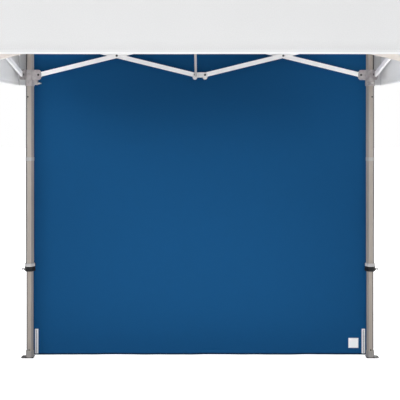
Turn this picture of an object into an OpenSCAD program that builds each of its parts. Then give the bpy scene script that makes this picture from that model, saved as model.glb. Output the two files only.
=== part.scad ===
// Pop up canopy: four telescoping hexagonal legs, a scissor truss on every side, four peak bars
// that meet at a hub with a peak pole, a pyramid roof with valances, and one sidewall at the back.
// Origin: middle of the footprint on the ground. +Z up, -Y the open front, +Y the sidewall.

/* [Overall] */
// Width and depth of the roof over its valances
roof_w = 3048; // [2400:1:3700]
// Distance from the edge of the roof in to the leg centres
leg_in = 124; // [90:1:200]
// Height of the valance hem above the ground
hem_z = 2243; // [1900:1:2600]
// Drop of the valance from the eave to its hem
valance_h = 420; // [200:1:480]
// Rise of the roof from the eave to the peak
roof_rise = 867; // [500:1:1200]
// Thickness of the roof cloth and the sidewall cloth
cloth_t = 1.2; // [0.8:0.1:2]

/* [Legs] */
// Outer leg size across the flats of the hexagon
outer_af = 57; // [45:0.5:70]
// Wall thickness of both leg tubes
leg_wall = 1.8; // [1.2:0.1:3]
// Clearance all round between the inner and the outer leg
leg_gap = 1.7; // [0.5:0.1:3]
// Height of the outer leg's lower end above the ground
outer_low_z = 745; // [600:1:900]
// Length of inner leg held inside the outer leg
leg_overlap = 450; // [250:1:600]

/* [Truss] */
// Drop from the eave to the upper pivots
eave_drop = 26; // [20:1:60]
// Height between the lower and the upper pivots
pivot_rise = 314; // [220:1:420]
// Depth of a truss bar
bar_d = 36; // [28:1:44]
// Thickness of a truss bar
bar_t = 18; // [12:0.5:24]
// Wall thickness of a truss bar
bar_wall = 1.6; // [1.2:0.1:3]
// Distance from a leg's centre to its bar pivots
ear_off = 74; // [66:1:90]
// Distance from the middle of a side to its bar pivots
mid_off = 41; // [34:1:56]
// How far the left and the right truss stand outside the leg centres
side_out = 38; // [0:1:44]
// Sideways offset of the peak bars from the middle of a side
peak_off = 34; // [28:1:44]
// Radius of the pivot bolts
bolt_r = 5; // [3:0.5:7]

/* [Feet and latches] */
// Radius of the stake hole in each foot
stake_r = 6; // [4:0.5:9]
// Thickness of the foot plate
foot_t = 5; // [3:0.5:8]
// Radius of the latch pins and of the leg pins
pin_r = 4; // [3:0.5:6]
// Peak pole radius
pole_r = 12.5; // [9:0.5:18]

/* [Hidden] */
// Side length of the square label patch on the sidewall
label_w = 82;
// Clearance across any two faces that slide or turn against each other
gap = 0.3;
// Cheek plates of every bracket
cheek_t = 4;
// Gap between a bar and the cheeks beside it
side_gap = 0.6;
// Space between the two bar planes of one truss
plane_gap = 3;

leg_c = roof_w / 2 - leg_in;
inner_af = outer_af - 2 * leg_wall - 2 * leg_gap;
eave_z = hem_z + valance_h;
top_pivot_z = eave_z - eave_drop;
low_pivot_z = top_pivot_z - pivot_rise;
bar_run = leg_c - ear_off - mid_off;
bar_len = sqrt(bar_run * bar_run + pivot_rise * pivot_rise);
bar_tilt = atan(pivot_rise / bar_run);
plane = (bar_t + plane_gap) / 2;
cheek_c = bar_t / 2 + side_gap + cheek_t / 2;
mid_plate = plane_gap - 2 * side_gap;
lobe_drop = 18;

// The peak bars run as far as the side bars, so both truss kinds keep one angle as they fold
peak_reach = 57;
hub_reach = ear_off + mid_off - peak_reach;
hub_half = hub_reach - bar_d / 2 - 4;

roof_slope = roof_rise / (roof_w / 2);
cloth_v = cloth_t * sqrt(1 + roof_slope * roof_slope);
sleeve_af = outer_af + 11;
collar_af = outer_af + 20;
leg_top_z = top_pivot_z + 43;
head_top_z = eave_z + roof_slope * (roof_w / 2 - leg_c - sleeve_af / 2 / cos(30)) - cloth_v - gap;
wall_y = leg_c + collar_af / 2 + gap;
wall_half = leg_c - 5;
wall_low_z = 16;
wall_top_z = top_pivot_z + 18;

latch_z = low_pivot_z - 70;
slider_low_z = low_pivot_z - 91;
slider_high_z = low_pivot_z + 41;
collar_z = outer_low_z - 33;
strap_z = 1617;
cap_z = 55;
pole_cap_r = 30;
pole_top_z = eave_z + roof_slope * (roof_w / 2 - pole_cap_r * 1.42) - cloth_v - gap;

// ---------- placing ----------

function out(s) = s % 2 * side_out;

// Side s seen from outside: x runs to the right along the truss, +y points in, 0 front to 3 left
module side(s) { rotate([0, 0, 90 * s]) translate([0, -leg_c - out(s), 0]) children(); }

// Corner c is the right hand end of side c: -x runs back along side c, +y along the next side
module corner(c) { rotate([0, 0, 90 * c]) translate([leg_c, -leg_c, 0]) children(); }

// Hexagon across the flats, with two flats facing front and back at every corner
module hex(af, h, c) { rotate([0, 0, 30 * (c % 2)]) cylinder(r = af / 2 / cos(30), h = h, $fn = 6); }

module tube_x(r, x0, x1) {
  translate([x0, 0, 0]) rotate([0, 90, 0]) rotate([0, 0, 33.75]) cylinder(r = r, h = x1 - x0, $fn = 32);
}
module tube_y(r, y0, y1) { translate([0, y0, 0]) rotate([-90, 0, 0]) cylinder(r = r, h = y1 - y0, $fn = 32); }
module tube_z(r, z0, z1) { translate([0, 0, z0]) cylinder(r = r, h = z1 - z0, $fn = 32); }

// ---------- truss bars ----------

// Rounded box tube along +x between two pivots, flat sides facing y, with a groove down each side
module bar_blank(len) {
  difference() {
    union() {
      translate([0, -bar_t / 2, -bar_d / 2]) cube([len, bar_t, bar_d]);
      tube_y(bar_d / 2, -bar_t / 2, bar_t / 2);
      translate([len, 0, 0]) tube_y(bar_d / 2, -bar_t / 2, bar_t / 2);
    }
    translate([24, -bar_t / 2 + bar_wall + 0.8, -bar_d / 2 + bar_wall])
      cube([len / 2 - 40, bar_t - 2 * bar_wall - 1.6, bar_d - 2 * bar_wall]);
    translate([len / 2 + 16, -bar_t / 2 + bar_wall + 0.8, -bar_d / 2 + bar_wall])
      cube([len / 2 - 40, bar_t - 2 * bar_wall - 1.6, bar_d - 2 * bar_wall]);
    for (y = [-bar_t / 2 - 1, bar_t / 2 - 0.8], z = [-7, 5])
      translate([30, y, z]) cube([len / 2 - 56, 1.8, 2]);
    for (y = [-bar_t / 2 - 1, bar_t / 2 - 0.8], z = [-7, 5])
      translate([len / 2 + 26, y, z]) cube([len / 2 - 56, 1.8, 2]);
    tube_y(bolt_r + gap, -bar_t, bar_t);
    translate([len, 0, 0]) tube_y(bolt_r + gap, -bar_t, bar_t);
  }
}

// Bar from a lower joint up to a leg head; dir -1 runs left in the inner plane, 1 right in the outer
module top_bar(s, dir) {
  color([0.85, 0.85, 0.86])
  side(s) translate([dir * mid_off, -dir * plane, low_pivot_z]) mirror([dir < 0 ? 1 : 0, 0, 0])
    rotate([0, -bar_tilt, 0]) {
      bar_blank(bar_len);
      translate([bar_len / 2, 0, 0]) mirror([0, dir < 0 ? 1 : 0, 0]) crossing_bolt();
    }
}

// Bolt fixed in a top bar, with a spacer between the bars and a nut beyond the slider bar
module crossing_bolt() {
  tube_y(bolt_r, -bar_t / 2 - 1, 2 * plane + bar_t / 2 + side_gap + 1);
  tube_y(9, -bar_t / 2 - 4, -bar_t / 2 + bar_wall);
  tube_y(9, bar_t / 2 - bar_wall, bar_t / 2 + plane_gap - side_gap);
  tube_y(9, 2 * plane + bar_t / 2 + side_gap, 2 * plane + bar_t / 2 + side_gap + 4);
}

// Bar from a slider up to an upper joint, with the hole that turns on the crossing bolt
module slider_bar(s, dir) {
  color([0.85, 0.85, 0.86])
  side(s) translate([dir * (leg_c - ear_off), dir * plane, low_pivot_z]) mirror([dir > 0 ? 1 : 0, 0, 0])
    rotate([0, -bar_tilt, 0]) difference() {
      bar_blank(bar_len);
      translate([bar_len / 2, 0, 0]) tube_y(bolt_r + gap, -bar_t, bar_t);
    }
}

// Peak bar from a lower joint up to the hub
module peak_bar(s) {
  color([0.85, 0.85, 0.86])
  side(s) translate([peak_off, peak_reach, low_pivot_z]) rotate([0, 0, 90]) rotate([0, -bar_tilt, 0])
    bar_blank(bar_len);
}

// ---------- brackets ----------

// Bolt along y with a socket head and a nut outside the cheeks at y0 and y1
module pivot_bolt(y0, y1) {
  difference() {
    union() {
      tube_y(bolt_r, y0, y1);
      tube_y(9, y0 - 4, y0);
      tube_y(9, y1, y1 + 4);
    }
    tube_y(3.5, y0 - 5, y0 - 1.5);
    tube_y(3.5, y1 + 1.5, y1 + 5);
  }
}

// Cheeks and bolts for one bar to the left in one plane and one bar to the right in the other;
// the cheeks hang down by drop below their pivots
module mid_bracket(p, drop) {
  in_edge = mid_off - bar_d / 2 - 3;
  translate([-in_edge, -plane - cheek_c - cheek_t / 2, -20])
    cube([2 * in_edge, 2 * (plane + cheek_c) + cheek_t, 40]);
  translate([-mid_off, -mid_plate / 2, -20]) cube([2 * mid_off, mid_plate, 40]);
  for (d = [-1, 1]) {
    far = -d * p * (plane + cheek_c);
    translate([d * mid_off, 0, 0]) {
      for (z = [0, -drop]) translate([0, 0, z]) {
        tube_y(20, -mid_plate / 2, mid_plate / 2);
        tube_y(20, far - cheek_t / 2, far + cheek_t / 2);
      }
      if (drop > 0) translate([-20, far - cheek_t / 2, -drop]) cube([40, cheek_t, drop]);
      if (far > 0) pivot_bolt(-mid_plate / 2, far + cheek_t / 2);
      else pivot_bolt(far - cheek_t / 2, mid_plate / 2);
    }
    translate([d > 0 ? 0 : -mid_off, far - cheek_t / 2, -20]) cube([mid_off, cheek_t, 40]);
  }
}

// Clevis for a peak bar: two cheeks along y from y0, pivot at y1, across a bar at x = 0
module peak_clevis(y0, y1) {
  for (x = [-cheek_c, cheek_c]) translate([x - cheek_t / 2, y0, -18]) cube([cheek_t, y1 - y0, 36]);
  translate([0, y1, 0]) {
    for (x = [-cheek_c, cheek_c]) tube_x(18, x - cheek_t / 2, x + cheek_t / 2);
    rotate([0, 0, 90]) pivot_bolt(-cheek_c - cheek_t / 2, cheek_c + cheek_t / 2);
  }
}

// Lower joint in the middle of a side, with the peak bar's clevis on its inner face
module lower_joint(s) {
  color([0.80, 0.80, 0.81])
  side(s) translate([0, 0, low_pivot_z]) {
    mid_bracket(1, lobe_drop);
    back = plane + cheek_c - cheek_t / 2;
    translate([0, back, -18]) cube([peak_off + cheek_c + cheek_t / 2, cheek_t + 2, 36]);
    translate([peak_off, 0, 0]) peak_clevis(back + cheek_t, peak_reach);
  }
}

// Upper joint in the middle of a side
module upper_joint(s) {
  color([0.80, 0.80, 0.81])
  side(s) translate([0, 0, top_pivot_z]) mid_bracket(-1, 0);
}

// Hub under the peak: a block with four clevises and a socket for the peak pole
module hub() {
  color([0.62, 0.61, 0.61])
  translate([0, 0, top_pivot_z]) difference() {
    union() {
      translate([-hub_half, -hub_half, -20]) cube([2 * hub_half, 2 * hub_half, 40]);
      tube_z(22, 20, 44);
      for (s = [0:3]) rotate([0, 0, 90 * s]) {
        translate([0, -hub_half, -18]) cube([peak_off + cheek_c + cheek_t / 2, 5, 36]);
        translate([peak_off, 0, 0]) mirror([0, 1, 0]) peak_clevis(hub_half - 2, hub_reach + out(s));
      }
    }
    tube_z(pole_r, -50, 60);
  }
}

// Peak pole with a round cap that lifts the roof, pressed into the hub
module peak_pole() {
  color([0.85, 0.85, 0.86]) difference() {
    union() {
      tube_z(pole_r, top_pivot_z - 24, pole_top_z - 8);
      tube_z(pole_cap_r, pole_top_z - 12, pole_top_z);
      tube_z(pole_r + 5, pole_top_z - 40, pole_top_z - 10);
    }
    tube_z(pole_r - 1.8, top_pivot_z - 70, pole_top_z - 45);
  }
}

// Two cheeks of an ear that reaches out along -x round a bar in the plane y = p
module ear(p, half) {
  r = half + 11;
  for (y = [p - cheek_c, p + cheek_c]) translate([0, y - cheek_t / 2, 0]) {
    translate([14 - ear_off, 0, -half]) cube([ear_off - 34, cheek_t, 2 * half]);
    intersection() {
      translate([r - ear_off - 24, 0, 0]) tube_y(r, 0, cheek_t);
      translate([-ear_off - 40, 0, -half]) cube([ear_off, cheek_t, 2 * half]);
    }
  }
  block = ear_off - bar_d / 2 - 4;
  translate([-block, p - cheek_c, -half]) cube([block, 2 * cheek_c, 2 * half]);
  translate([-26, min(p, 0), -half]) cube([26, abs(p), 2 * half]);
  translate([-ear_off, 0, 0]) pivot_bolt(p - cheek_c - cheek_t / 2, p + cheek_c + cheek_t / 2);
}

// Head cast over the top of a leg, with an ear for the top bar of each side
module head(c) {
  color([0.62, 0.61, 0.61])
  corner(c) difference() {
    union() {
      translate([0, 0, top_pivot_z - 47]) hex(sleeve_af, head_top_z - top_pivot_z + 47, c);
      translate([0, 0, top_pivot_z]) {
        ear(-plane - out(c), 24);
        rotate([0, 0, -90]) ear(-plane + out(c + 1), 24);
      }
    }
    translate([0, 0, top_pivot_z - 90]) hex(outer_af + 2 * gap, leg_top_z - top_pivot_z + 90, c);
  }
}

// Slider sleeve with an ear for the slider bar of each side and a housing for its latch
module slider(c) {
  color([0.62, 0.61, 0.61])
  corner(c) difference() {
    union() {
      translate([0, 0, slider_low_z]) hex(sleeve_af, slider_high_z - slider_low_z, c);
      translate([0, 0, low_pivot_z]) {
        ear(plane - out(c), 41);
        rotate([0, 0, -90]) ear(plane + out(c + 1), 41);
      }
      translate([0, 0, latch_z]) {
        tube_x(13, -65, -30);
        translate([-65, -13, 0]) cube([37, 26, low_pivot_z - latch_z - bar_d / 2 - 2]);
      }
    }
    translate([0, 0, slider_low_z - 5]) hex(outer_af + 2 * gap, slider_high_z - slider_low_z + 10, c);
    translate([0, 0, latch_z]) tube_x(pin_r + gap, -70, -20);
  }
}

// Sprung latch: a pin in the slider's boss with a forked pull
module latch(c) {
  color([0.72, 0.72, 0.72])
  corner(c) translate([0, 0, latch_z]) {
    tube_x(pin_r, -68, -outer_af / 2 / cos(30) - 2 * gap);
    tube_x(8, -80, -66);
    translate([-92, -14, -4]) cube([5, 28, 8]);
    for (y = [-14, 9]) translate([-92, y, -4]) cube([18, 5, 8]);
    translate([-82, -14, -4]) cube([6, 28, 8]);
  }
}

// ---------- legs ----------

// Outer leg with the cuff and the collar that guide the inner leg
module outer_leg(c) {
  cuff_z = outer_low_z - 8;
  color([0.78, 0.76, 0.75])
  corner(c) difference() {
    union() {
      translate([0, 0, outer_low_z]) hex(outer_af, leg_top_z - outer_low_z, c);
      translate([0, 0, cuff_z]) hex(collar_af - 5, 38, c);
      translate([0, 0, collar_z]) hex(collar_af, cuff_z - collar_z, c);
    }
    translate([0, 0, outer_low_z + 5]) hex(outer_af - 2 * leg_wall, leg_top_z, c);
    translate([0, 0, collar_z - 5]) hex(inner_af + 2 * gap, 80, c);
    translate([0, 0, latch_z]) tube_x(pin_r + gap, -40, -20);
    translate([11, 0, low_pivot_z - 181]) tube_y(4.5, 10, 40);
    pull_way(c) translate([0, 0, collar_z + 12]) tube_x(pin_r + gap, 20, 60);
  }
}

// Turns to the outward x direction of the whole canopy, where the leg pins and foot plates point
module pull_way(c) { rotate([0, 0, -90 * (c % 2)]) children(); }

// Inner leg with its guide plug on top and the foot with its stake hole below
module inner_leg(c) {
  top = outer_low_z + leg_overlap;
  color([0.78, 0.76, 0.75])
  corner(c) difference() {
    union() {
      translate([0, 0, foot_t]) hex(inner_af, top - foot_t, c);
      translate([0, 0, top - 25]) hex(outer_af - 2 * leg_wall - 2 * gap, 25, c);
      translate([0, 0, foot_t - 1]) hex(inner_af + 10, cap_z - foot_t + 1, c);
      pull_way(c) {
        translate([-34, -33, 0]) cube([88, 66, foot_t]);
        translate([54, -17, 0]) cube([16, 34, foot_t]);
        for (y = [-17, 17]) translate([54, y, 0]) tube_z(16, 0, foot_t);
      }
    }
    translate([0, 0, cap_z - 10]) hex(inner_af - 2 * leg_wall, top - cap_z - 5, c);
    pull_way(c) translate([53, 0, 0]) tube_z(stake_r, -1, foot_t + 1);
    translate([0, 0, cap_z + 11]) tube_y(4, -40, 40);
  }
}

// Sprung leg pin: a pin in the collar with a pull ring outside it
module leg_pin(c) {
  tip = inner_af / 2 / cos(30) + 4;
  ring = collar_af / 2 / cos(30) + 12.5;
  color([0.10, 0.10, 0.10])
  corner(c) pull_way(c) translate([0, 0, collar_z + 12]) {
    tube_x(pin_r, tip, ring - 7);
    translate([ring, 0, 0]) difference() {
      tube_y(11, -3, 3);
      tube_y(6, -4, 4);
    }
  }
}

// ---------- cloth ----------

// Pyramid from the half width w at height z up to a point
module pyramid(w, z, rise) {
  translate([0, 0, z]) rotate([0, 0, 45]) cylinder(r1 = w * sqrt(2), r2 = 0, h = rise, $fn = 4);
}

// Roof and its four valances, one shell of cloth
module roof_cover() {
  in_w = roof_w / 2 - cloth_t;
  in_base = roof_w / 2 - cloth_v / roof_slope;
  color([0.91, 0.91, 0.91]) difference() {
    union() {
      pyramid(roof_w / 2, eave_z, roof_rise);
      translate([-roof_w / 2, -roof_w / 2, hem_z]) cube([roof_w, roof_w, valance_h]);
    }
    pyramid(in_base, eave_z - 0.01, roof_rise - cloth_v);
    translate([-in_w, -in_w, hem_z - 5]) cube([2 * in_w, 2 * in_w, valance_h + 5]);
  }
}

// Sidewall behind the back legs, from just off the ground up to the truss
module side_wall() {
  color([0.08, 0.29, 0.50])
  translate([-wall_half, wall_y, wall_low_z]) cube([2 * wall_half, cloth_t, wall_top_z - wall_low_z]);
}

// Plain patch low in the right hand corner of the sidewall
module wall_label() {
  color([0.95, 0.95, 0.95])
  translate([wall_half - 164, wall_y - 1, 62]) cube([label_w, 1, label_w]);
}

// Zip strips beside the two back legs
module wall_zips() {
  color([0.75, 0.75, 0.76])
  for (d = [-1, 1]) translate([d * (leg_c - 46) - 14, wall_y - 2.5, 17]) cube([28, 2.5, 204]);
}

// Straps that tie the sidewall to the outer legs
module wall_straps() {
  color([0.55, 0.55, 0.56])
  for (d = [-1, 1]) translate([d * leg_c, leg_c, strap_z]) difference() {
    union() {
      hex(outer_af + 6, 29, 0);
      translate([-12, 0, 0]) cube([24, wall_y - leg_c, 29]);
    }
    translate([0, 0, -1]) hex(outer_af + 2 * gap, 31, 0);
  }
}

roof_cover();
side_wall();
wall_label();
wall_zips();
wall_straps();
hub();
peak_pole();
peak_bar(0);  // front_peak_bar
peak_bar(1);  // right_peak_bar
peak_bar(2);  // back_peak_bar
peak_bar(3);  // left_peak_bar
lower_joint(0);  // front_lower_joint
lower_joint(1);  // right_lower_joint
lower_joint(2);  // back_lower_joint
lower_joint(3);  // left_lower_joint
upper_joint(0);  // front_upper_joint
upper_joint(1);  // right_upper_joint
upper_joint(2);  // back_upper_joint
upper_joint(3);  // left_upper_joint
top_bar(0, -1);  // front_top_bar_a
top_bar(0, 1);  // front_top_bar_b
slider_bar(0, -1);  // front_slider_bar_a
slider_bar(0, 1);  // front_slider_bar_b
top_bar(1, -1);  // right_top_bar_a
top_bar(1, 1);  // right_top_bar_b
slider_bar(1, -1);  // right_slider_bar_a
slider_bar(1, 1);  // right_slider_bar_b
top_bar(2, -1);  // back_top_bar_a
top_bar(2, 1);  // back_top_bar_b
slider_bar(2, -1);  // back_slider_bar_a
slider_bar(2, 1);  // back_slider_bar_b
top_bar(3, -1);  // left_top_bar_a
top_bar(3, 1);  // left_top_bar_b
slider_bar(3, -1);  // left_slider_bar_a
slider_bar(3, 1);  // left_slider_bar_b
head(0);  // front_right_head
head(1);  // back_right_head
head(2);  // back_left_head
head(3);  // front_left_head
outer_leg(0);  // front_right_outer_leg
outer_leg(1);  // back_right_outer_leg
outer_leg(2);  // back_left_outer_leg
outer_leg(3);  // front_left_outer_leg
inner_leg(0);  // front_right_inner_leg
inner_leg(1);  // back_right_inner_leg
inner_leg(2);  // back_left_inner_leg
inner_leg(3);  // front_left_inner_leg
slider(0);  // front_right_slider
slider(1);  // back_right_slider
slider(2);  // back_left_slider
slider(3);  // front_left_slider
latch(0);  // front_right_latch
latch(1);  // back_right_latch
latch(2);  // back_left_latch
latch(3);  // front_left_latch
leg_pin(0);  // front_right_leg_pin
leg_pin(1);  // back_right_leg_pin
leg_pin(2);  // back_left_leg_pin
leg_pin(3);  // front_left_leg_pin
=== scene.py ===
import bpy, math
import numpy as np
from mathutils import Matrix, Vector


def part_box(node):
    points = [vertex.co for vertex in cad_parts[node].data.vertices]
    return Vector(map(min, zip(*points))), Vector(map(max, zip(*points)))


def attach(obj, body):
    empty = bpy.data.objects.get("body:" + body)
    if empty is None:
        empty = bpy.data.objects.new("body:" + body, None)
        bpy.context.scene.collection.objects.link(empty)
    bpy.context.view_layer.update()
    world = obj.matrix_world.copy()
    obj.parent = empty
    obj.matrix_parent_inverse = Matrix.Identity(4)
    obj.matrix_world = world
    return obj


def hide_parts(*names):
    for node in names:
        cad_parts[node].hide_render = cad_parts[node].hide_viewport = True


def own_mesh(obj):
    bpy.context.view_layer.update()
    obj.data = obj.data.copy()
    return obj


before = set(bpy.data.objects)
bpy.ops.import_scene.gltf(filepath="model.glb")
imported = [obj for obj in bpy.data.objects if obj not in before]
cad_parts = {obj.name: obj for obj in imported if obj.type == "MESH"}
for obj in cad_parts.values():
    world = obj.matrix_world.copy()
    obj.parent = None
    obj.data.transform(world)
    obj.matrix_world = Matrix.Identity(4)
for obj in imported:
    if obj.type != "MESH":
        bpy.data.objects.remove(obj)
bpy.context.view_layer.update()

# ---------- Camera, floor, backdrop and light ----------
# A level camera stands in front of the open side, a little above head height, so the legs stay upright
# in the view. The lens shift brings the ground into the frame.
cam = bpy.data.objects.new("camera", bpy.data.cameras.new("camera"))
bpy.context.collection.objects.link(cam)
cam.location = (0.0, -4.529, 1.985)
cam.rotation_euler = (math.radians(90), 0, 0)
cam.data.lens, cam.data.sensor_width = 64.8, 36.0
cam.data.shift_y = -0.21
cam.data.clip_start, cam.data.clip_end = 0.05, 200
cam.data.dof.use_dof = False
bpy.context.scene.camera = cam
bpy.context.scene.view_settings.view_transform = "Standard"


def link(tree, a, out, b, into):
    """Joins one node's output to another node's input."""
    tree.links.new(a.outputs[out], b.inputs[into])


def grid_mesh(name, points, closed_u=False, closed_v=False, uv=None):
    """A mesh from a grid of points (rows, columns, 3): each cell is a quad between four neighbours,
    and a closed direction joins the last row or column to the first."""
    rows, cols = points.shape[:2]
    i, j = np.meshgrid(np.arange(rows - (not closed_u)), np.arange(cols - (not closed_v)), indexing="ij")
    a, b = (i + 1) % rows, (j + 1) % cols
    quads = np.stack([i * cols + j, i * cols + b, a * cols + b, a * cols + j], -1).reshape(-1, 4)
    mesh = bpy.data.meshes.new(name)
    mesh.vertices.add(rows * cols)
    mesh.vertices.foreach_set("co", points.astype(np.float32).ravel())
    mesh.loops.add(quads.size)
    mesh.loops.foreach_set("vertex_index", quads.astype(np.int32).ravel())
    mesh.polygons.add(len(quads))
    mesh.polygons.foreach_set("loop_start", np.arange(0, quads.size, 4, dtype=np.int32))
    mesh.update(calc_edges=True)
    mesh.polygons.foreach_set("use_smooth", np.ones(len(quads), bool))
    # Open edges are marked sharp, so a thickened sheet shades flat right up to its cut edge.
    used = np.zeros(quads.size, np.int32)
    mesh.loops.foreach_get("edge_index", used)
    sharp = mesh.attributes.new("sharp_edge", "BOOLEAN", "EDGE")
    sharp.data.foreach_set("value", np.bincount(used, minlength=len(mesh.edges)) == 1)
    if uv is not None:
        layer = mesh.uv_layers.new(name="cloth")
        layer.data.foreach_set("uv", uv.reshape(-1, 2)[quads.ravel()].astype(np.float32).ravel())
    return mesh


def add_piece(name, mesh, material, body):
    """Puts a finished mesh in the scene, gives it its material and fixes it to a body."""
    o = bpy.data.objects.new(name, mesh)
    bpy.context.collection.objects.link(o)
    mesh.materials.clear()
    mesh.materials.append(material)
    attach(o, body)
    return o


def new_material(name):
    """An empty material with its output and its Principled shader: (tree, shader)."""
    m = bpy.data.materials.new(name)
    m.use_nodes = True
    tree = m.node_tree
    tree.nodes.clear()
    out = tree.nodes.new("ShaderNodeOutputMaterial")
    shader = tree.nodes.new("ShaderNodeBsdfPrincipled")
    link(tree, shader, "BSDF", out, "Surface")
    return m, tree, shader


floor_mesh = grid_mesh("studio_floor", np.stack([*np.meshgrid(
    np.linspace(-40, 40, 2), np.linspace(-40, 40, 2)), np.full((2, 2), -0.0005)], -1))
floor = bpy.data.objects.new("studio_floor", floor_mesh)
bpy.context.collection.objects.link(floor)
floor_material, tree, shader = new_material("studio_floor")
shader.inputs["Base Color"].default_value = (0.88, 0.88, 0.88, 1)
shader.inputs["Roughness"].default_value = 0.9
shader.inputs["Specular IOR Level"].default_value = 0.1
# The camera sees the floor lighter than the floor lights the object, so it looks white and still carries
# the shadow of the legs.
FLOOR_GLOW = 0.72
glow = tree.nodes.new("ShaderNodeEmission")
glow.inputs["Color"].default_value = (1, 1, 1, 1)
rays = tree.nodes.new("ShaderNodeLightPath")
share = tree.nodes.new("ShaderNodeMath")
share.operation = "MULTIPLY"
share.inputs[1].default_value = FLOOR_GLOW
link(tree, rays, "Is Camera Ray", share, 0)
both = tree.nodes.new("ShaderNodeAddShader")
link(tree, share, "Value", glow, "Strength")
link(tree, shader, "BSDF", both, 0)
link(tree, glow, "Emission", both, 1)
link(tree, both, "Shader", tree.nodes["Material Output"], "Surface")
floor_mesh.materials.append(floor_material)

world = bpy.data.worlds.new("studio")
bpy.context.scene.world = world
world.use_nodes = True
tree = world.node_tree
tree.nodes.clear()
out = tree.nodes.new("ShaderNodeOutputWorld")
soft = tree.nodes.new("ShaderNodeBackground")
soft.inputs["Color"].default_value = (0.97, 0.98, 1.0, 1)
soft.inputs["Strength"].default_value = 0.42
white = tree.nodes.new("ShaderNodeBackground")
white.inputs["Color"].default_value = (1, 1, 1, 1)
white.inputs["Strength"].default_value = 1.0
rays = tree.nodes.new("ShaderNodeLightPath")
seen = tree.nodes.new("ShaderNodeMath")
seen.operation = "MAXIMUM"
link(tree, rays, "Is Camera Ray", seen, 0)
link(tree, rays, "Is Glossy Ray", seen, 1)
pick = tree.nodes.new("ShaderNodeMixShader")
link(tree, seen, "Value", pick, "Fac")
link(tree, soft, "Background", pick, 1)
link(tree, white, "Background", pick, 2)
link(tree, pick, "Shader", out, "Surface")


def soft_box(name, place, aim, wide, high, power, spread=180):
    """A flat studio lamp of a width and height at a place, turned to face a point. Power is in watts and
    the spread of its beam in degrees."""
    lamp = bpy.data.lights.new(name, "AREA")
    lamp.shape, lamp.size, lamp.size_y, lamp.energy = "RECTANGLE", wide, high, power
    lamp.spread = math.radians(spread)
    o = bpy.data.objects.new(name, lamp)
    bpy.context.collection.objects.link(o)
    d = np.array(aim, float) - np.array(place, float)
    d /= np.linalg.norm(d)
    o.location = place
    o.rotation_euler = (math.acos(-d[2]), 0, math.atan2(d[1], d[0]) - math.pi / 2)
    o.visible_camera = False


# Two lamps stand in front, one low and narrow for the foot of the wall; one lies on the ground for the
# undersides; two narrow ones fill the side valances; four stand round and above.
for lamp in (
        ("front_lamp", (0.3, -9.5, 3.1), (0, 1.0, 0.6), 6.0, 1.3, 300),
        ("low_front_lamp", (0.1, -7.0, 0.7), (0, 1.4, 0.25), 3.0, 0.5, 6, 40),
        ("left_fill", (1.2, -3.0, 0.8), (-1.75, 1.0, 2.5), 0.6, 0.6, 3.3, 26),
        ("right_fill", (-1.2, -3.0, 0.8), (1.75, 1.0, 2.5), 0.6, 0.6, 3.3, 26),
        ("floor_bounce", (0.0, -0.3, 0.03), (0, -0.29, 2.6), 2.4, 2.4, 22),
        ("left_lamp", (-8.0, -3.0, 5.0), (0, 0, 1.8), 4.0, 4.0, 290),
        ("right_lamp", (8.0, 1.0, 4.5), (0, 0, 1.8), 4.0, 4.0, 230),
        ("top_lamp", (0.0, 1.0, 10.0), (0, 0, 2.5), 6.0, 6.0, 130),
        ("back_lamp", (1.0, 9.0, 4.0), (0, 1.0, 1.5), 5.0, 5.0, 260)):
    soft_box(*lamp)

# ---------- Legs, bars and their metal ----------
# Legs and truss bars are drawn aluminium: the legs are six sided and clear anodised a warm grey, the
# bars are bright. Drawing leaves fine lines along them, and sliding and handling leave dull scuffs.


def group(name, inputs, outputs):
    """An empty shader node group with named sockets: (group, its input node, its output node)."""
    g = bpy.data.node_groups.new(name, "ShaderNodeTree")
    for label, kind, value in inputs:
        s = g.interface.new_socket(label, in_out="INPUT", socket_type=kind)
        if value is not None:
            s.default_value = value
    for label, kind in outputs:
        g.interface.new_socket(label, in_out="OUTPUT", socket_type=kind)
    return g, g.nodes.new("NodeGroupInput"), g.nodes.new("NodeGroupOutput")


def ramp(tree, low, high, a=0.0, b=1.0):
    """A straight ramp from value a at low to value b at high, held flat outside."""
    n = tree.nodes.new("ShaderNodeMapRange")
    n.inputs["From Min"].default_value, n.inputs["From Max"].default_value = low, high
    n.inputs["To Min"].default_value, n.inputs["To Max"].default_value = a, b
    return n


# Drawn lines: noise stretched along one axis, in rows a fraction of a millimetre wide, plus long smears.
drawn, gi, go = group("drawn_lines",
                      [("Stretch", "NodeSocketVector", (1, 1, 0.02)), ("Scale", "NodeSocketFloat", 900.0)],
                      [("Lines", "NodeSocketFloat"), ("Smears", "NodeSocketFloat"),
                       ("Specks", "NodeSocketFloat")])
place = drawn.nodes.new("ShaderNodeTexCoord")
stretch = drawn.nodes.new("ShaderNodeVectorMath")
stretch.operation = "MULTIPLY"
link(drawn, place, "Object", stretch, 0)
link(drawn, gi, "Stretch", stretch, 1)
fine = drawn.nodes.new("ShaderNodeTexNoise")
link(drawn, stretch, "Vector", fine, "Vector")
link(drawn, gi, "Scale", fine, "Scale")
fine.inputs["Detail"].default_value = 3
link(drawn, fine, "Fac", go, "Lines")
smear = drawn.nodes.new("ShaderNodeTexNoise")
link(drawn, stretch, "Vector", smear, "Vector")
smear.inputs["Scale"].default_value = 60
smear.inputs["Detail"].default_value = 5
link(drawn, smear, "Fac", go, "Smears")
speck = drawn.nodes.new("ShaderNodeTexNoise")
link(drawn, place, "Object", speck, "Vector")
speck.inputs["Scale"].default_value = 45
speck.inputs["Detail"].default_value = 8
speck.inputs["Roughness"].default_value = 0.7
link(drawn, speck, "Fac", go, "Specks")


MIX_A, MIX_B, MIXED = 6, 7, 2  # the colour sockets of a Mix node: its two inputs and its output


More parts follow.
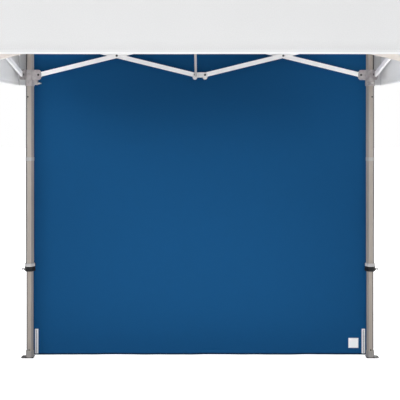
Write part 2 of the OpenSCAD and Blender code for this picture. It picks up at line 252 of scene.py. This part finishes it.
def mix_colour(tree, fac_node, fac_out, a, b):
    """A colour between a and b by a mask; a and b are colours or (node, output) pairs."""
    m = tree.nodes.new("ShaderNodeMix")
    m.data_type = "RGBA"
    link(tree, fac_node, fac_out, m, "Factor")
    for value, index in ((a, MIX_A), (b, MIX_B)):
        if isinstance(value[0], bpy.types.Node):
            tree.links.new(value[0].outputs[value[1]], m.inputs[index])
        else:
            m.inputs[index].default_value = (*value, 1)
    return m


def metal_bump(tree, shader, source, out, strength, distance):
    """Gives a shader fine relief from one height value."""
    bump = tree.nodes.new("ShaderNodeBump")
    bump.inputs["Strength"].default_value = strength
    bump.inputs["Distance"].default_value = distance
    link(tree, source, out, bump, "Height")
    link(tree, bump, "Normal", shader, "Normal")
    return bump


def drawn_metal(name, dark, light, rough, stretch, metallic):
    """Drawn aluminium: colour wanders between two greys along the lines, scuffs dull it."""
    m, tree, shader = new_material(name)
    g = tree.nodes.new("ShaderNodeGroup")
    g.node_tree = drawn
    g.inputs["Stretch"].default_value = stretch
    colour = mix_colour(tree, g, "Smears", dark, light)
    scuff = ramp(tree, 0.60, 0.72, 0.0, 0.35)
    link(tree, g, "Specks", scuff, "Value")
    worn = mix_colour(tree, scuff, "Result", (colour, MIXED), tuple(0.72 * c for c in dark))
    link(tree, worn, MIXED, shader, "Base Color")
    gloss = ramp(tree, 0.35, 0.65, rough - 0.07, rough + 0.09)
    link(tree, g, "Lines", gloss, "Value")
    link(tree, gloss, "Result", shader, "Roughness")
    shader.inputs["Metallic"].default_value = metallic
    metal_bump(tree, shader, g, "Lines", 0.12, 0.0003)
    return m, tree, shader, worn


def height_mask(tree, low, high):
    """1 between two heights in the object's own frame, 0 outside, for a band round an upright piece."""
    co = tree.nodes.new("ShaderNodeTexCoord")
    xyz = tree.nodes.new("ShaderNodeSeparateXYZ")
    link(tree, co, "Object", xyz, "Vector")
    over = tree.nodes.new("ShaderNodeMath")
    over.operation = "GREATER_THAN"
    over.inputs[1].default_value = low
    under = tree.nodes.new("ShaderNodeMath")
    under.operation = "LESS_THAN"
    under.inputs[1].default_value = high
    band = tree.nodes.new("ShaderNodeMath")
    band.operation = "MULTIPLY"
    link(tree, xyz, "Z", over, 0)
    link(tree, xyz, "Z", under, 0)
    link(tree, over, "Value", band, 0)
    link(tree, under, "Value", band, 1)
    return band


def pivot_mask(tree, spots, radius, axes=("X", "Y")):
    """1 near pivots that all four sides share, 0 elsewhere. Each spot is a distance along its side from
    the middle and a height; |x| is that distance on the front and back, |y| on the left and right."""
    co = tree.nodes.new("ShaderNodeTexCoord")
    fold = tree.nodes.new("ShaderNodeVectorMath")
    fold.operation = "ABSOLUTE"
    link(tree, co, "Object", fold, 0)
    xyz = tree.nodes.new("ShaderNodeSeparateXYZ")
    link(tree, fold, "Vector", xyz, "Vector")
    total = None
    for run, height in spots:
        for axis in axes:
            flat = tree.nodes.new("ShaderNodeCombineXYZ")
            link(tree, xyz, axis, flat, "X")
            link(tree, xyz, "Z", flat, "Z")
            far = tree.nodes.new("ShaderNodeVectorMath")
            far.operation = "DISTANCE"
            far.inputs[1].default_value = (run, 0, height)
            link(tree, flat, "Vector", far, 0)
            near = tree.nodes.new("ShaderNodeMath")
            near.operation = "LESS_THAN"
            near.inputs[1].default_value = radius
            link(tree, far, "Value", near, 0)
            if total is not None:
                either = tree.nodes.new("ShaderNodeMath")
                either.operation = "MAXIMUM"
                link(tree, total, "Value", either, 0)
                link(tree, near, "Value", either, 1)
                near = either
            total = near
    return total


def outer_edge_shade_mask(tree, inner):
    """1 on the outward corner of each leg, where |x| is beyond a value, for the painted shade along that
    corner.
    """
    co = tree.nodes.new("ShaderNodeTexCoord")
    fold = tree.nodes.new("ShaderNodeVectorMath")
    fold.operation = "ABSOLUTE"
    link(tree, co, "Object", fold, 0)
    xyz = tree.nodes.new("ShaderNodeSeparateXYZ")
    link(tree, fold, "Vector", xyz, "Vector")
    soft = ramp(tree, inner - 0.0015, inner + 0.0015)
    link(tree, xyz, "X", soft, "Value")
    return soft


def metallic_outside(tree, shader, covered, out, share):
    """Metallic is a share on bare metal and 0 where a mask is 1: share - share * mask."""
    bare = tree.nodes.new("ShaderNodeMath")
    bare.operation = "MULTIPLY_ADD"
    bare.inputs[1].default_value, bare.inputs[2].default_value = -share, share
    link(tree, covered, out, bare, 0)
    link(tree, bare, "Value", shader, "Metallic")


# Places on the legs and trusses. The pivots of a slider are 41 mm under its top, and the pivots of the
# head are 314 mm above them. The bars' outer pivots stand 74 mm in from a leg, the inner ones 41 mm out
# from the middle of a side.
leg_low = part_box("back_left_outer_leg")[0]
collar_top, cuff_top = leg_low[2] + 0.038, leg_low[2] + 0.063
low_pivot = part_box("back_left_slider")[1][2] - 0.041
top_pivot = low_pivot + 0.314
leg_x, ear_run, mid_run = 1.400, 1.400 - 0.074, 0.041
LEG_SHARE, LEG_GLOSS = 0.35, 0.2
# The first colour is painted shade, laid dark on the outer corner facet of each leg.
edge_shade, hole_shade = (0.032, 0.029, 0.026), (0.02, 0.02, 0.02)

# Outer legs: the tube is anodised, the cuff at its end is cast grey and the collar under it is black.
outer_metal, tree, shader, worn = drawn_metal(
    "anodised_outer_leg", (0.305, 0.272, 0.243), (0.400, 0.361, 0.328), 0.42, (1, 1, 0.012), LEG_SHARE)
cuff = height_mask(tree, collar_top, cuff_top)
collar = height_mask(tree, 0.0, collar_top)
button_out, button_drop, button_radius = 0.011, 0.181, 0.0065
# The lock hole is a near-black disc of painted shade.
hole = pivot_mask(tree, [(leg_x + button_out, low_pivot - button_drop)], button_radius, ("X",))
# The outer corner facet is painted dark as painted shade.
edge_shaded = mix_colour(tree, outer_edge_shade_mask(tree, leg_x + 0.0185), "Result", (worn, MIXED), edge_shade)
cuffed = mix_colour(tree, cuff, "Value", (edge_shaded, MIXED), (0.44, 0.43, 0.43))
blacked = mix_colour(tree, collar, "Value", (cuffed, MIXED), (0.010, 0.010, 0.011))
bored = mix_colour(tree, hole, "Value", (blacked, MIXED), hole_shade)
link(tree, bored, MIXED, shader, "Base Color")
shader.inputs["Specular IOR Level"].default_value = LEG_GLOSS
off = tree.nodes.new("ShaderNodeMath")
off.operation = "MAXIMUM"
link(tree, cuff, "Value", off, 0)
link(tree, collar, "Value", off, 1)
metallic_outside(tree, shader, off, "Value", LEG_SHARE)

# Inner legs: a slimmer tube, rubbed where it slides, over a cast foot and a dark stake plate.
inner_metal, tree, shader, worn = drawn_metal(
    "anodised_inner_leg", (0.310, 0.272, 0.240), (0.415, 0.373, 0.336), 0.38, (1, 1, 0.010), LEG_SHARE)
plate_top, foot_top, foot_hole = 0.0052, 0.0551, 0.066
# The outer corner facet is painted dark as painted shade.
edge_shaded = mix_colour(tree, outer_edge_shade_mask(tree, leg_x + 0.0150), "Result", (worn, MIXED), edge_shade)
foot_cast = height_mask(tree, plate_top, foot_top)
plate = height_mask(tree, -0.01, plate_top)
footed = mix_colour(tree, foot_cast, "Value", (edge_shaded, MIXED), (0.30, 0.285, 0.27))
plated = mix_colour(tree, plate, "Value", (footed, MIXED), (0.022, 0.020, 0.019))
# The hole near the foot is a near-black disc of painted shade.
hole = pivot_mask(tree, [(leg_x, foot_hole)], button_radius, ("X",))
bored = mix_colour(tree, hole, "Value", (plated, MIXED), hole_shade)
link(tree, bored, MIXED, shader, "Base Color")
shader.inputs["Specular IOR Level"].default_value = LEG_GLOSS
metallic_outside(tree, shader, plate, "Value", LEG_SHARE)

# Bars: bright extrusion, brighter than the legs, with fine drawn lines along them. The bolt where two
# bars cross is blackened steel. The peak bars are painted darker and warmer than the other bars, as
# painted shade under the roof; the peak pole has a duller, warmer finish.
bar_metal, tree, shader, worn = drawn_metal(
    "bright_bar", (0.91, 0.89, 0.89), (0.98, 0.97, 0.97), 0.42, (0.05, 0.05, 1), 0.08)
crossing = ((ear_run + mid_run) / 2, (low_pivot + top_pivot) / 2)
bolt = pivot_mask(tree, [crossing], 0.0095)
bolted = mix_colour(tree, bolt, "Value", (worn, MIXED), (0.05, 0.05, 0.05))
link(tree, bolted, MIXED, shader, "Base Color")
shaded_peak_bar_metal, tree, shader, worn = drawn_metal(
    "painted_shade_peak_bar", (0.66, 0.60, 0.55), (0.78, 0.72, 0.67), 0.42, (0.05, 0.05, 1), 0.25)
pole_metal, tree, shader, worn = drawn_metal(
    "peak_pole_metal", (0.66, 0.64, 0.63), (0.80, 0.78, 0.77), 0.36, (1, 1, 0.02), 0.4)

# ---------- Brackets: heads, sliders, hub and mid joints ----------
# Heads, sliders and the hub are die cast and tumbled, a pewter grey with a pebbled skin. The joints in the
# middle of each side are moulded in pale glass filled nylon.
cast, gi, go = group("pebbled_skin",
                     [("Grain", "NodeSocketFloat", 700.0), ("Patch", "NodeSocketFloat", 35.0)],
                     [("Pebbles", "NodeSocketFloat"), ("Patches", "NodeSocketFloat"),
                      ("Scuffs", "NodeSocketFloat")])
co = cast.nodes.new("ShaderNodeTexCoord")
pebble = cast.nodes.new("ShaderNodeTexVoronoi")
pebble.feature = "SMOOTH_F1"
link(cast, co, "Object", pebble, "Vector")
link(cast, gi, "Grain", pebble, "Scale")
link(cast, pebble, "Distance", go, "Pebbles")
patch = cast.nodes.new("ShaderNodeTexNoise")
patch.inputs["Detail"].default_value = 6
link(cast, co, "Object", patch, "Vector")
link(cast, gi, "Patch", patch, "Scale")
link(cast, patch, "Fac", go, "Patches")
scuffs = cast.nodes.new("ShaderNodeTexNoise")
scuffs.inputs["Scale"].default_value = 160
scuffs.inputs["Detail"].default_value = 9
scuffs.inputs["Distortion"].default_value = 0.8
link(cast, co, "Object", scuffs, "Vector")
link(cast, scuffs, "Fac", go, "Scuffs")


def moulded(name, dark, light, rough, metallic, grain=700.0, depth=0.00015, bolts=()):
    """A cast or moulded skin: patchy colour, pale scuffs on top, pebbled relief, dark bolts at pivots."""
    m, tree, shader = new_material(name)
    g = tree.nodes.new("ShaderNodeGroup")
    g.node_tree = cast
    g.inputs["Grain"].default_value = grain
    spread = ramp(tree, 0.35, 0.65)
    link(tree, g, "Patches", spread, "Value")
    colour = mix_colour(tree, spread, "Result", dark, light)
    rubbed = ramp(tree, 0.62, 0.70, 0.0, 0.45)
    link(tree, g, "Scuffs", rubbed, "Value")
    pale = tuple(min(1.0, 1.35 * c + 0.02) for c in light)
    scuffed = mix_colour(tree, rubbed, "Result", (colour, MIXED), pale)
    link(tree, scuffed, MIXED, shader, "Base Color")
    gloss = ramp(tree, 0.3, 0.7, rough + 0.08, rough - 0.08)
    link(tree, g, "Patches", gloss, "Value")
    link(tree, gloss, "Result", shader, "Roughness")
    shader.inputs["Metallic"].default_value = metallic
    metal_bump(tree, shader, g, "Pebbles", 0.25, depth)
    if bolts:
        at_bolts = pivot_mask(tree, bolts, 0.0092)
        bolted = mix_colour(tree, at_bolts, "Value", (scuffed, MIXED), (0.040, 0.038, 0.036))
        link(tree, bolted, MIXED, shader, "Base Color")
    return m


pewter = moulded("pewter_casting", (0.33, 0.302, 0.302), (0.45, 0.413, 0.413), 0.42, 0.40,
                 bolts=[(ear_run, low_pivot), (ear_run, top_pivot)])
nylon = moulded("pale_nylon", (0.70, 0.69, 0.685), (0.83, 0.82, 0.81), 0.40, 0.15, 900.0, 0.00008,
                bolts=[(mid_run, low_pivot), (mid_run, top_pivot)])
steel = moulded("latch_steel", (0.52, 0.51, 0.50), (0.66, 0.65, 0.64), 0.32, 0.8, 1200.0, 0.00004)
black = moulded("black_nylon", (0.016, 0.016, 0.017), (0.030, 0.030, 0.032), 0.42, 0.0, 1100.0, 0.00006)

finish = {"_outer_leg": outer_metal, "_inner_leg": inner_metal, "_bar_a": bar_metal, "_bar_b": bar_metal,
          "_peak_bar": shaded_peak_bar_metal, "_lower_joint": nylon, "_upper_joint": nylon, "_head": pewter,
          "_slider": pewter, "_latch": steel, "_leg_pin": black, "hub": pewter, "peak_pole": pole_metal}
for node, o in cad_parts.items():
    for tail, material in finish.items():
        if node.endswith(tail):
            o.data.materials.clear()
            o.data.materials.append(material)

# ---------- Roof and valances ----------
# The roof is one cover of coated polyester, cut as gores and sewn, with a valance hanging from each
# eave. It is stretched over the peak pole and the four heads.
roof_lo, roof_hi = (np.array(v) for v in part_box("roof_cover"))
half = roof_hi[0]
peak_z, hem_z = roof_hi[2], roof_lo[2]
valance = 0.420
eave_z = hem_z + valance
slope = math.hypot(half, peak_z - eave_z)
cloth = 0.0008

weave, gi, go = group("plain_weave",
                      [("Threads", "NodeSocketFloat", 900.0), ("Crease", "NodeSocketFloat", 3.0)],
                      [("Weave", "NodeSocketFloat"), ("Slubs", "NodeSocketFloat"),
                       ("Creases", "NodeSocketFloat")])
uv = weave.nodes.new("ShaderNodeUVMap")
uv.uv_map = "cloth"
parts = weave.nodes.new("ShaderNodeSeparateXYZ")
link(weave, uv, "UV", parts, "Vector")
waves = []
for axis in ("X", "Y"):
    times = weave.nodes.new("ShaderNodeMath")
    times.operation = "MULTIPLY"
    link(weave, parts, axis, times, 0)
    link(weave, gi, "Threads", times, 1)
    wave = weave.nodes.new("ShaderNodeMath")
    wave.operation = "SINE"
    link(weave, times, "Value", wave, 0)
    waves.append(wave)
both = weave.nodes.new("ShaderNodeMath")
both.operation = "MULTIPLY"
link(weave, waves[0], "Value", both, 0)
link(weave, waves[1], "Value", both, 1)
link(weave, both, "Value", go, "Weave")
slub = weave.nodes.new("ShaderNodeTexNoise")
slub.inputs["Scale"].default_value = 260
slub.inputs["Detail"].default_value = 4
link(weave, uv, "UV", slub, "Vector")
link(weave, slub, "Fac", go, "Slubs")
crease = weave.nodes.new("ShaderNodeTexNoise")
crease.inputs["Detail"].default_value = 5
crease.inputs["Roughness"].default_value = 0.55
crease.inputs["Distortion"].default_value = 0.6
link(weave, uv, "UV", crease, "Vector")
link(weave, gi, "Crease", crease, "Scale")
link(weave, crease, "Fac", go, "Creases")


def cloth_material(name, dark, light, rough, sheen, threads, crease_scale, crease_depth):
    """Woven cloth: thread relief, slubs that vary the colour, and soft creases."""
    m, tree, shader = new_material(name)
    g = tree.nodes.new("ShaderNodeGroup")
    g.node_tree = weave
    g.inputs["Threads"].default_value = threads
    g.inputs["Crease"].default_value = crease_scale
    tone = ramp(tree, 0.30, 0.70)
    link(tree, g, "Slubs", tone, "Value")
    colour = mix_colour(tree, tone, "Result", dark, light)
    link(tree, colour, MIXED, shader, "Base Color")
    gloss = ramp(tree, 0.3, 0.7, rough - 0.05, rough + 0.05)
    link(tree, g, "Slubs", gloss, "Value")
    link(tree, gloss, "Result", shader, "Roughness")
    shader.inputs["Sheen Weight"].default_value = sheen
    shader.inputs["Specular IOR Level"].default_value = 0.12
    folds = metal_bump(tree, shader, g, "Creases", 0.35, crease_depth)
    threads_bump = tree.nodes.new("ShaderNodeBump")
    threads_bump.inputs["Strength"].default_value = 0.25
    threads_bump.inputs["Distance"].default_value = 0.0002
    link(tree, g, "Weave", threads_bump, "Height")
    link(tree, folds, "Normal", threads_bump, "Normal")
    link(tree, threads_bump, "Normal", shader, "Normal")
    return m, tree, shader, colour


roof_cloth, tree, shader, colour = cloth_material(
    "white_roof_cloth", (0.715, 0.715, 0.715), (0.765, 0.765, 0.765), 0.75, 0.05, 7000.0, 2.2, 0.006)
# Hem: a doubled band along the bottom edge, with one row of stitches 3 mm under its top. The fold at its
# very bottom, the lowest 9 mm, is painted whiter as a painted highlight.
co = tree.nodes.new("ShaderNodeTexCoord")
xyz = tree.nodes.new("ShaderNodeSeparateXYZ")
link(tree, co, "Object", xyz, "Vector")
highlight_top, hem_row = 0.0090, 0.0215
hem_highlight = ramp(tree, hem_z + highlight_top + 0.0010, hem_z + highlight_top - 0.0010)
link(tree, xyz, "Z", hem_highlight, "Value")
hem_light_and_shade = mix_colour(tree, hem_highlight, "Result", (colour, MIXED), (0.86, 0.86, 0.86))
link(tree, hem_light_and_shade, MIXED, shader, "Base Color")


def stitch_rows(tree, line_socket_node, line_out, run_node, run_out, at, step=0.0045):
    """A mask of dashes: 1 on a thread 1.4 mm wide at one place across, dashed along the run. A dash is
    1.4 steps long and the gap after it 0.6 steps."""
    near = tree.nodes.new("ShaderNodeMath")
    near.operation = "COMPARE"
    near.inputs[1].default_value, near.inputs[2].default_value = at, 0.0007
    link(tree, line_socket_node, line_out, near, 0)
    dash = tree.nodes.new("ShaderNodeMath")
    dash.operation = "PINGPONG"
    dash.inputs[1].default_value = step
    link(tree, run_node, run_out, dash, 0)
    on = tree.nodes.new("ShaderNodeMath")
    on.operation = "GREATER_THAN"
    on.inputs[1].default_value = 0.3 * step
    link(tree, dash, "Value", on, 0)
    mask = tree.nodes.new("ShaderNodeMath")
    mask.operation = "MULTIPLY"
    link(tree, near, "Value", mask, 0)
    link(tree, on, "Value", mask, 1)
    return mask


uv = tree.nodes.new("ShaderNodeUVMap")
uv.uv_map = "cloth"
run = tree.nodes.new("ShaderNodeSeparateXYZ")
link(tree, uv, "UV", run, "Vector")
stitches = stitch_rows(tree, xyz, "Z", run, "X", hem_z + hem_row)
sewn = mix_colour(tree, stitches, "Value", (hem_light_and_shade, MIXED), (0.58, 0.58, 0.58))
# Corner seams: a felled seam 18 mm wide up each corner and hip, where |x| and |y| are equal, with a row
# of stitches along both of its edges.
fold = tree.nodes.new("ShaderNodeVectorMath")
fold.operation = "ABSOLUTE"
link(tree, co, "Object", fold, 0)
quarter = tree.nodes.new("ShaderNodeSeparateXYZ")
link(tree, fold, "Vector", quarter, "Vector")
apart = tree.nodes.new("ShaderNodeMath")
apart.operation = "SUBTRACT"
link(tree, quarter, "X", apart, 0)
link(tree, quarter, "Y", apart, 1)
from_hip = tree.nodes.new("ShaderNodeMath")
from_hip.operation = "ABSOLUTE"
link(tree, apart, "Value", from_hip, 0)
seam_half, seam_row = 0.0090, 0.0065
seam = ramp(tree, seam_half + 0.0002, seam_half - 0.0002)
link(tree, from_hip, "Value", seam, "Value")
seamed = mix_colour(tree, seam, "Result", (sewn, MIXED), (0.66, 0.66, 0.66))
hip_stitches = stitch_rows(tree, from_hip, "Value", xyz, "Z", seam_row)
finished = mix_colour(tree, hip_stitches, "Value", (seamed, MIXED), (0.52, 0.52, 0.52))
link(tree, finished, MIXED, shader, "Base Color")

GORES = 8  # on each side
SLOPE_ROWS, VALANCE_ROWS, GORE_COLUMNS = 30, 16, 9
SAG, RIPPLE = 0.016, 0.0022
HEM_DROP, HEM_PROUD = 0.395, 0.0011  # where the doubled hem starts under the eave, and how far it stands out


def gore_points(side, g):
    """One gore of the roof and its piece of valance. Column t runs along the eave and row r runs from
    the peak (0) to the eave (1): the point is r times the eave point, with a sag of 4r(1-r) times 16 mm
    that fades to none on the hips. Below the eave the rows drop straight to the hem, with a slow ripple
    that grows downward, and the last 24 mm stand 1 mm proud as the doubled hem."""
    t = np.linspace(-1 + 2 * g / GORES, -1 + 2 * (g + 1) / GORES, GORE_COLUMNS)[None, :]
    r = np.linspace(0, 1, SLOPE_ROWS)[:, None]
    inner = half - cloth
    sag = SAG * 4 * r * (1 - r) * (1 - t ** 2) * (1 - np.exp(-(r / 0.05) ** 2))
    x = inner * r * t
    y = -inner * r + 0 * t
    z = eave_z + (peak_z - 0.0015 - eave_z) * (1 - r) - sag
    drop = np.concatenate([np.linspace(0.004, 0.394, 12), [0.3955, 0.398, 0.410, 0.4195]])[:, None]
    fall = drop / valance
    waves = np.sin(9.0 * t + 1.3 * side) + 0.6 * np.sin(23 * t + 2.1 * side)
    ripple = RIPPLE * fall * waves * (1 - t ** 8)
    proud = np.where(drop > HEM_DROP, HEM_PROUD, 0.0)
    vx = np.broadcast_to(inner * t, (VALANCE_ROWS, GORE_COLUMNS))
    vy = -inner - proud - ripple
    vz = eave_z - drop + 0 * t
    p = np.concatenate([np.stack([x, y, z], -1), np.stack([vx, vy, vz], -1)])
    a = math.pi / 2 * side
    turned = p.copy()
    turned[..., 0] = p[..., 0] * math.cos(a) - p[..., 1] * math.sin(a)
    turned[..., 1] = p[..., 0] * math.sin(a) + p[..., 1] * math.cos(a)
    down = np.concatenate([r * slope, slope + drop])
    uv = np.stack([np.broadcast_to(half * t, p.shape[:2]), np.broadcast_to(-down, p.shape[:2])], -1)
    return turned, uv


def thicken(o, amount):
    """Gives a sheet its thickness, grown inward from the shown face."""
    s = o.modifiers.new("thickness", "SOLIDIFY")
    s.thickness, s.offset = amount, -1


names = ("front", "right", "back", "left")
for side in range(4):
    for g in range(GORES):
        pts, uvs = gore_points(side, g)
        mesh = grid_mesh(f"roof_{names[side]}_{g}", pts, uv=uvs)
        o = add_piece(f"roof_{names[side]}_{g}", mesh, roof_cloth, "hub")
        thicken(o, cloth)
        middle = math.pi / 2 * side + math.atan2(-1, -1 + (2 * g + 1) / GORES)
        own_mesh(o)
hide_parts("roof_cover")

# ---------- Sidewall ----------
# The sidewall is one panel of heavier blue polyester with a doubled hem all round. It hangs from the
# truss behind the back legs, is strapped to them, and its lower edge just clears the ground.
wall_lo, wall_hi = (np.array(v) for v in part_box("side_wall"))
wall_half, wall_y = wall_hi[0], wall_lo[1] + 0.0014
WALL_STRETCH = 0.010  # the cloth hangs a little below the line it is cut to, as it stretches
wall_lo[2] -= WALL_STRETCH
low_hem_high, low_hem_row = 0.013, 0.030


def wall_sheet(x, z):
    """Depth of the wall cloth: slow upright waves that grow towards the free lower edge and die at the
    straps on each leg, plus a shallow belly between them."""
    free = np.clip((wall_hi[2] - z) / 2.6, 0, 1)
    held = 1 - (x / wall_half) ** 6
    wave = (0.0030 * np.sin(7.1 * x + 0.5) + 0.0018 * np.sin(15.7 * x + 2 * z)
            + 0.0009 * np.sin(31 * x - 3 * z))
    belly = 0.009 * np.sin(math.pi * np.clip((z - wall_lo[2]) / (wall_hi[2] - wall_lo[2]), 0, 1))
    return wall_y + held * (0.004 + belly + wave * (0.3 + 0.7 * free))


xs = np.concatenate([np.linspace(-wall_half, -wall_half + 0.03, 4),
                     np.linspace(-wall_half + 0.05, wall_half - 0.05, 150),
                     np.linspace(wall_half - 0.03, wall_half, 4)])
zs = np.concatenate([[wall_lo[2], wall_lo[2] + 0.012, wall_lo[2] + low_hem_high],
                     np.linspace(0.04, wall_hi[2] - 0.03, 130), [wall_hi[2] - 0.02, wall_hi[2]]])
X, Z = np.meshgrid(xs, zs)
Y = wall_sheet(X, Z)
Y[:2] -= 0.0008  # the doubled hem stands proud
wall_mesh = grid_mesh("blue_sidewall", np.stack([X, Y, Z], -1), uv=np.stack([X, Z], -1))
wall_cloth, tree, shader, colour = cloth_material(
    "blue_wall_cloth", (0.0031, 0.0540, 0.153), (0.0039, 0.0645, 0.177), 0.85, 0.0, 6000.0, 2.6, 0.010)
co = tree.nodes.new("ShaderNodeTexCoord")
xyz = tree.nodes.new("ShaderNodeSeparateXYZ")
link(tree, co, "Object", xyz, "Vector")
# The doubled hem, the lowest 13 mm of the wall, is painted darker: painted shade along the foot of the wall.
low_hem_shade = ramp(tree, wall_lo[2] + low_hem_high + 0.0005, wall_lo[2] + low_hem_high - 0.0005)
link(tree, xyz, "Z", low_hem_shade, "Value")
hem_light_and_shade = mix_colour(tree, low_hem_shade, "Result", (colour, MIXED), (0.004, 0.020, 0.050))
row = stitch_rows(tree, xyz, "Z", xyz, "X", wall_lo[2] + low_hem_row)
sewn = mix_colour(tree, row, "Value", (hem_light_and_shade, MIXED), (0.020, 0.12, 0.28))
link(tree, sewn, MIXED, shader, "Base Color")
wall = add_piece("blue_sidewall", wall_mesh, wall_cloth, "back_upper_joint")
thicken(wall, 0.0010)
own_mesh(wall)
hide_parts("side_wall")

# ---------- Label patch ----------
# A square patch is sewn low in the right hand corner of the sidewall. It is a white coated tag with a
# folded edge and one row of stitches, and it is left blank.
tag_lo, tag_hi = (np.array(v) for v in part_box("wall_label"))


def tag_surface(n=61):
    """A square pillow: depth rises from the cloth at the rim to 0.9 mm, as the smallest of the distances
    to the four edges over 3 mm, and dips 0.25 mm under the stitches 5 mm in from the rim."""
    u = np.linspace(0, 1, n)
    U, V = np.meshgrid(u, u)
    w, h = tag_hi[0] - tag_lo[0], tag_hi[2] - tag_lo[2]
    edge = np.minimum.reduce([U * w, (1 - U) * w, V * h, (1 - V) * h])
    rise = 0.0009 * np.clip(edge / 0.003, 0, 1) ** 0.5 - 0.00025 * np.exp(-((edge - 0.005) / 0.0008) ** 2)
    x, z = tag_lo[0] + U * w, tag_lo[2] + V * h
    y = wall_sheet(x, z) - 0.0003 - rise
    return np.stack([x, y, z], -1), np.stack([U * w, V * h], -1), edge


pts, uvs, edge = tag_surface()
tag_mesh = grid_mesh("blank_label_patch", pts, uv=uvs)
a = tag_mesh.attributes.new("edge_distance", "FLOAT", "POINT")
a.data.foreach_set("value", edge.astype(np.float32).ravel())
tag_cloth, tree, shader, colour = cloth_material(
    "white_label_cloth", (0.82, 0.82, 0.82), (0.88, 0.88, 0.88), 0.55, 0.0, 9000.0, 20.0, 0.0006)
rim = tree.nodes.new("ShaderNodeAttribute")
rim.attribute_name = "edge_distance"
row = tree.nodes.new("ShaderNodeMath")
row.operation = "COMPARE"
row.inputs[1].default_value, row.inputs[2].default_value = 0.005, 0.0006
link(tree, rim, "Fac", row, 0)
thread = mix_colour(tree, row, "Value", (colour, MIXED), (0.55, 0.55, 0.55))
link(tree, thread, MIXED, shader, "Base Color")
tag = add_piece("blank_label_patch", tag_mesh, tag_cloth, "back_upper_joint")
thicken(tag, 0.0004)
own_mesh(tag)
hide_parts("wall_label")

# ---------- Zip strips ----------
# A short length of zip runs up each lower corner, to join the next panel: a pale woven tape with a row
# of dark moulded teeth down its middle.
zip_lo, zip_hi = (np.array(v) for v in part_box("wall_zips"))
TAPE = 0.028
tape_cloth, tree, shader, colour = cloth_material(
    "zip_tape", (0.70, 0.70, 0.72), (0.82, 0.82, 0.84), 0.7, 0.05, 8000.0, 12.0, 0.0008)


def tooth_row(cx, z0, z1, y0, pitch=0.0045):
    """Teeth down a zip: one small six faced block per pitch, stepped left and right of the middle."""
    n = int((z1 - z0) / pitch)
    k = np.arange(n)
    box = np.array([[sx, sy, sz] for sx in (-1, 1) for sy in (-1, 1) for sz in (-1, 1)], float)
    centre = np.stack([cx + 0.0016 * (-1.0) ** k, np.full(n, y0 - 0.0007), z0 + (k + 0.5) * pitch], -1)
    verts = centre[:, None, :] + box[None] * np.array([0.0028, 0.0009, 0.0013])
    faces = np.array([[0, 1, 3, 2], [4, 6, 7, 5], [0, 4, 5, 1], [2, 3, 7, 6], [0, 2, 6, 4], [1, 5, 7, 3]])
    return verts.reshape(-1, 3), (faces[None] + 8 * k[:, None, None]).reshape(-1, 4)


first = None
for hand, where in ((-1, "left"), (1, "right")):
    near, far = (zip_lo[0], zip_lo[0] + TAPE) if hand < 0 else (zip_hi[0] - TAPE, zip_hi[0])
    tx = np.linspace(near, far, 9)
    tz = np.linspace(zip_lo[2], zip_hi[2], 60)
    TX, TZ = np.meshgrid(tx, tz)
    across = (TX - near) / (far - near)
    TY = wall_sheet(TX, TZ) - 0.0006 - 0.0006 * np.sin(math.pi * across) ** 0.5
    tape_mesh = grid_mesh("zip_tape", np.stack([TX, TY, TZ], -1), uv=np.stack([TX, TZ], -1))
    tape = add_piece(f"zip_tape_{where}", tape_mesh, tape_cloth, "back_upper_joint")
    thicken(tape, 0.0005)
    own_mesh(tape)
    middle = (near + far) / 2
    verts, faces = tooth_row(middle, zip_lo[2] + 0.004, zip_hi[2] - 0.004, float(TY[:, len(tx) // 2].min()))
    teeth_mesh = bpy.data.meshes.new("zip_teeth")
    teeth_mesh.from_pydata(verts.tolist(), [], faces.tolist())
    teeth_mesh.update()
    teeth = add_piece(f"zip_teeth_{where}", teeth_mesh, black, "back_upper_joint")
    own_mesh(teeth)
    if first is None:
        first = tape
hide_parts("wall_zips")

# ---------- Leg straps ----------
# Two webbing straps tie the sidewall to the outer legs at chest height. Each is a woven band sewn to the
# wall's edge, wrapped round the six sided tube and closed on itself.
strap_lo, strap_hi = (np.array(v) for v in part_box("wall_straps"))
leg_y = (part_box("back_left_outer_leg")[0][1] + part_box("back_left_outer_leg")[1][1]) / 2
STRAP_FLAT, HEX_ROUND = 0.0622, 3.42  # across the flats, and the way round for each metre of that
strap_cloth, tree, shader, colour = cloth_material(
    "strap_webbing", (0.33, 0.32, 0.32), (0.43, 0.42, 0.42), 0.75, 0.05, 5000.0, 30.0, 0.0004)


def hex_band(cx, cy, flat, z0, z1, rows=9, turn=72):
    """A band round a six sided tube with corners left and right: the radius at angle a is half the flat
    size over the cosine of a's distance from the nearest flat, cut back to 1.13 of it at the corners, and
    the band bulges 0.5 mm at mid height."""
    a = np.linspace(0, 2 * math.pi, turn, endpoint=False)
    from_flat = a % (math.pi / 3) - math.pi / 6
    radius = np.minimum(flat / 2 / np.cos(from_flat), flat / 2 * 1.13)
    v = np.linspace(0, 1, rows)[:, None]
    R = radius[None, :] + 0.0005 * np.sin(math.pi * v)
    x, y = cx + R * np.cos(a)[None, :], cy + R * np.sin(a)[None, :]
    z = z0 + (z1 - z0) * v + 0 * a[None, :]
    uv = np.stack([0.03 * np.broadcast_to(a, x.shape), np.broadcast_to(z, x.shape)], -1)
    return np.stack([x, y, z], -1), uv


first = None
for hand, leg in ((-1, "back_left_leg"), (1, "back_right_leg")):
    pts, uvs = hex_band(hand * leg_x, leg_y, STRAP_FLAT, strap_lo[2], strap_hi[2])
    band_mesh = grid_mesh("leg_strap", pts, closed_v=True, uv=uvs)
    band = add_piece(f"{leg}_strap", band_mesh, strap_cloth, leg)
    thicken(band, 0.0018)
    if first is None:
        first = band
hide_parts("wall_straps")
